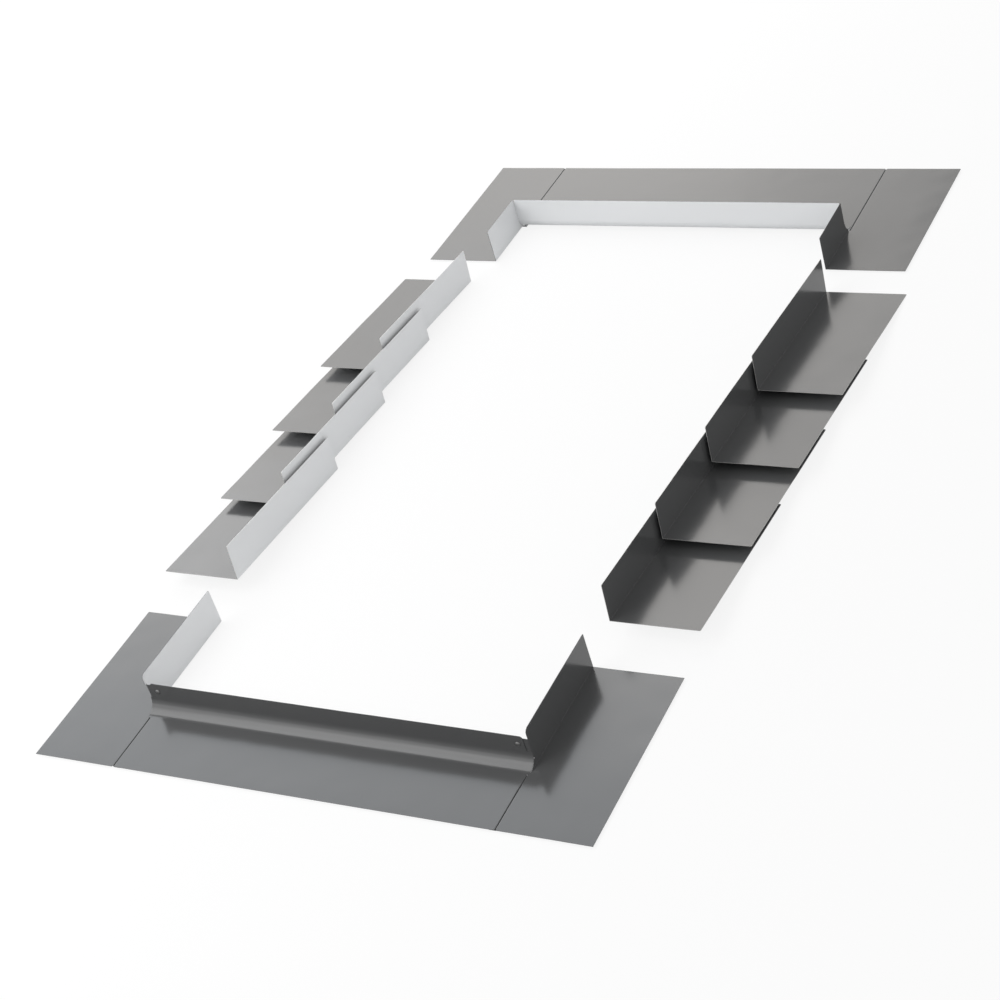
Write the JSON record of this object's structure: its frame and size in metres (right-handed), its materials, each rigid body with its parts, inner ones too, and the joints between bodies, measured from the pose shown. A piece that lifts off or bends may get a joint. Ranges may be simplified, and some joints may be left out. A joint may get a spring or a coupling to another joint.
{
  "type": "skylight flashing",
  "caption": "Step flashing set for a roof window, with a sill apron, a head pan and L-shaped side flashings laid out in order.",
  "frame": {"origin": "middle of the set's box, on the surface that it lies on", "axes": "+Z square to the roof, +Y up the slope from the sill to the head, +X to the right seen from the sill"},
  "size_m": [0.8238, 1.398, 0.0766],
  "materials": {
    "coated_sheet": "dark grey baked coating, semi-gloss, with bare cut edges",
    "rivet": "satin"
  },
  "bodies": {
    "root": {"sill_apron": "coated_sheet", "sill_corner_left": "coated_sheet", "sill_corner_right": "coated_sheet", "head_pan": "coated_sheet", "head_corner_left": "coated_sheet", "head_corner_right": "coated_sheet", "step_left_1": "coated_sheet", "step_left_2": "coated_sheet", "step_left_3": "coated_sheet", "step_left_4": "coated_sheet", "step_right_1": "coated_sheet", "step_right_2": "coated_sheet", "step_right_3": "coated_sheet", "step_right_4": "coated_sheet", "sill_rivets": "rivet"}
  },
  "joints": []
}
